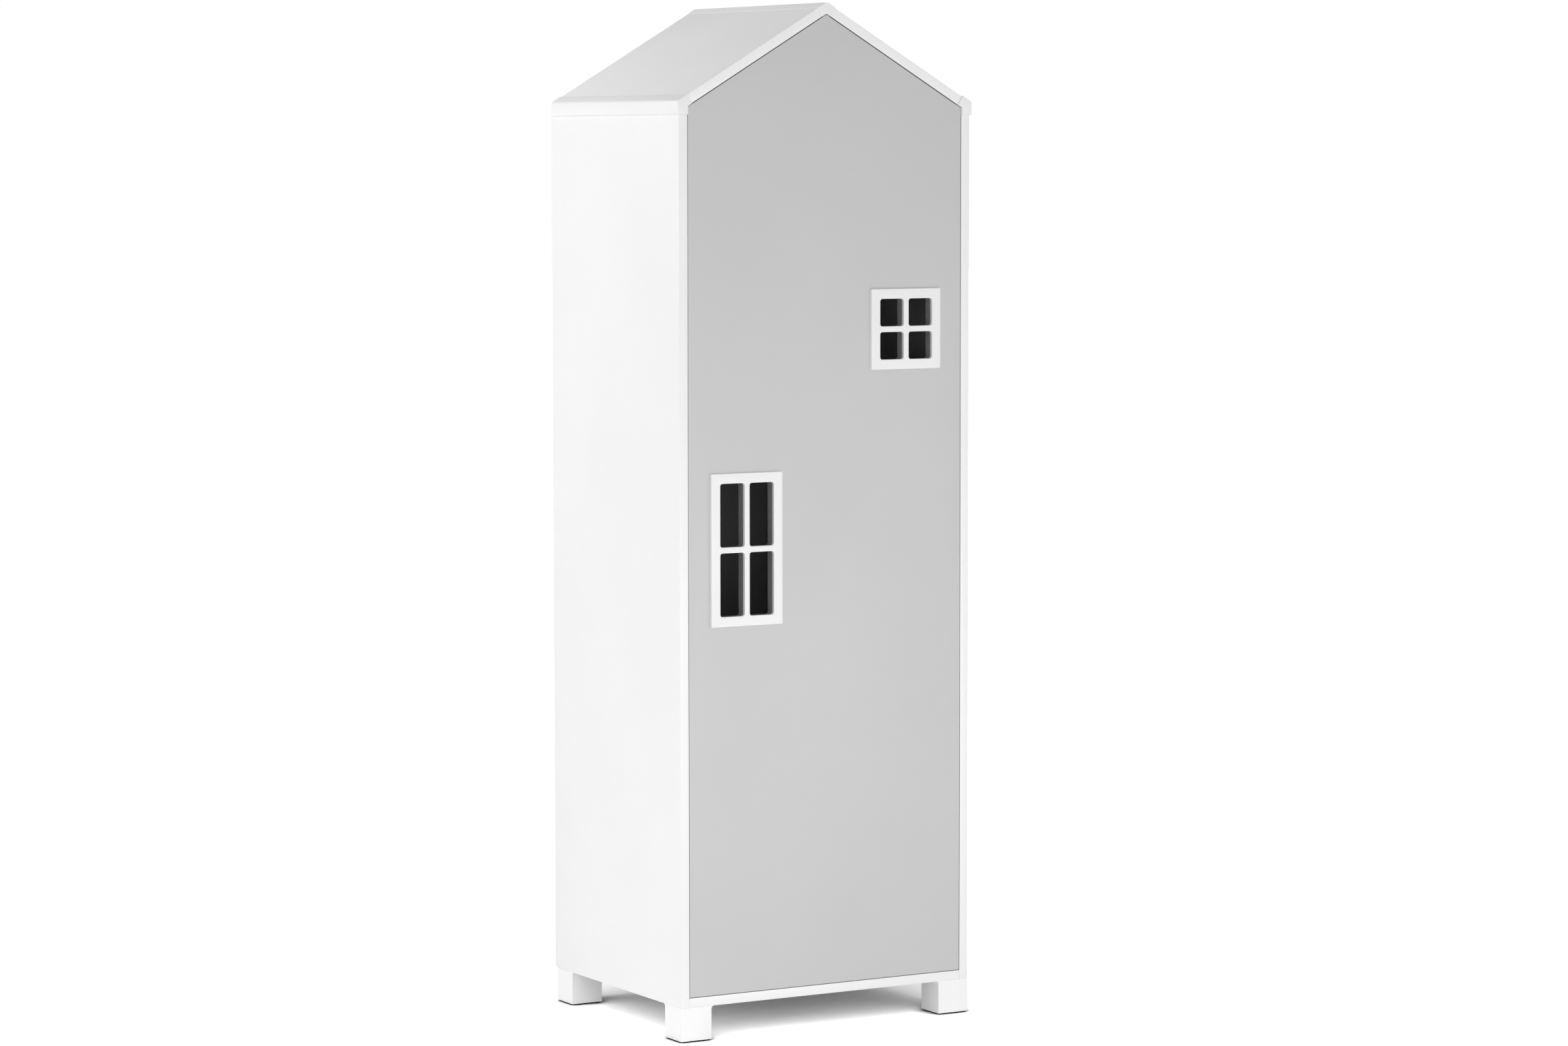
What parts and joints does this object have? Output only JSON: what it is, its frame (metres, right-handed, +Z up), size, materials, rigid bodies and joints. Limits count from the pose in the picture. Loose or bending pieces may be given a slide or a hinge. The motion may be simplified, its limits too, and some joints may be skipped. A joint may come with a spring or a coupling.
{
  "type": "house-shaped wardrobe",
  "caption": "Tall child's wardrobe shaped like a house, with a gable roof, block feet and an inset grey door with cut-through window panes",
  "frame": {"origin": "on the floor, under the middle of the object's bounding box", "axes": "+Z up; -Y is the front, where the door is; +X is to the right as one faces the door, which is the hinge side"},
  "size_m": [0.5652, 0.462, 1.72],
  "materials": {
    "white_board": "satin white melamine, light grey on the inner faces",
    "grey_door": "matt grey lacquer",
    "white_frame": "satin white lacquer",
    "white_profile": "satin white lacquer",
    "white_foot": "satin white lacquer",
    "back_board": "hardboard painted light grey",
    "nickel": "nickel plate",
    "steel_pin": "bright steel",
    "zinc": "zinc plate",
    "rail_tube": "chrome plate",
    "white_plastic": "satin white plastic",
    "glide_plastic": "grey plastic",
    "bumper_rubber": "soft rubber"
  },
  "bodies": {
    "carcass": {"side_panel_left": "white_board", "side_panel_right": "white_board", "floor_panel": "white_board", "back_panel": "back_board", "roof_panel_left": "white_board", "roof_panel_right": "white_board", "eave_corner_left": "white_profile", "eave_corner_right": "white_profile", "ridge_corner": "white_profile", "foot_front_left": "white_foot", "foot_front_right": "white_foot", "foot_rear_left": "white_foot", "foot_rear_right": "white_foot", "glide_front_left": "glide_plastic", "glide_front_right": "glide_plastic", "glide_rear_left": "glide_plastic", "glide_rear_right": "glide_plastic", "foot_bolt_front_left": "zinc", "foot_bolt_front_right": "zinc", "foot_bolt_rear_left": "zinc", "foot_bolt_rear_right": "zinc", "cam_front_left": "zinc", "cam_front_right": "zinc", "cam_rear_left": "zinc", "cam_rear_right": "zinc", "cam_bolt_front_left": "steel_pin", "cam_bolt_front_right": "steel_pin", "cam_bolt_rear_left": "steel_pin", "cam_bolt_rear_right": "steel_pin", "shelf": "white_board", "shelf_pin_front_left": "zinc", "shelf_pin_front_right": "zinc", "shelf_pin_rear_left": "zinc", "shelf_pin_rear_right": "zinc", "clothes_rail": "rail_tube", "rail_socket_left": "zinc", "rail_socket_right": "zinc", "hinge_case_side_1": "nickel", "hinge_case_side_2": "nickel", "hinge_case_side_3": "nickel", "hinge_screw_side_1": "zinc", "hinge_screw_side_2": "zinc", "hinge_screw_side_3": "zinc", "magnetic_catch": "white_plastic", "door_stop": "white_plastic"},
    "door": {"door_panel": "grey_door", "window_frame_square": "white_frame", "window_frame_tall": "white_frame", "hinge_case_door_1": "nickel", "hinge_case_door_2": "nickel", "hinge_case_door_3": "nickel", "hinge_screw_door_1": "zinc", "hinge_screw_door_2": "zinc", "hinge_screw_door_3": "zinc", "strike_plate": "zinc", "stop_bumper": "bumper_rubber"},
    "hinge_links": {"hinge_link_1": "steel_pin", "hinge_link_2": "steel_pin", "hinge_link_3": "steel_pin"}
  },
  "joints": [
    {"name": "door_hinge", "type": "hinge", "parent": "carcass", "child": "door", "pos_m": [0.2636, -0.225, 0.805], "axis": [0, 0, 1], "range_deg": [0, 95]},
    {"name": "hinge_link_swing", "type": "hinge", "parent": "carcass", "child": "hinge_links", "pos_m": [0.2636, -0.225, 0.805], "axis": [0, 0, 1], "range_deg": [0, 47.5]}
  ],
  "couplings": [
    {"joint": "hinge_link_swing", "follows": "door_hinge", "ratio": 0.5}
  ]
}
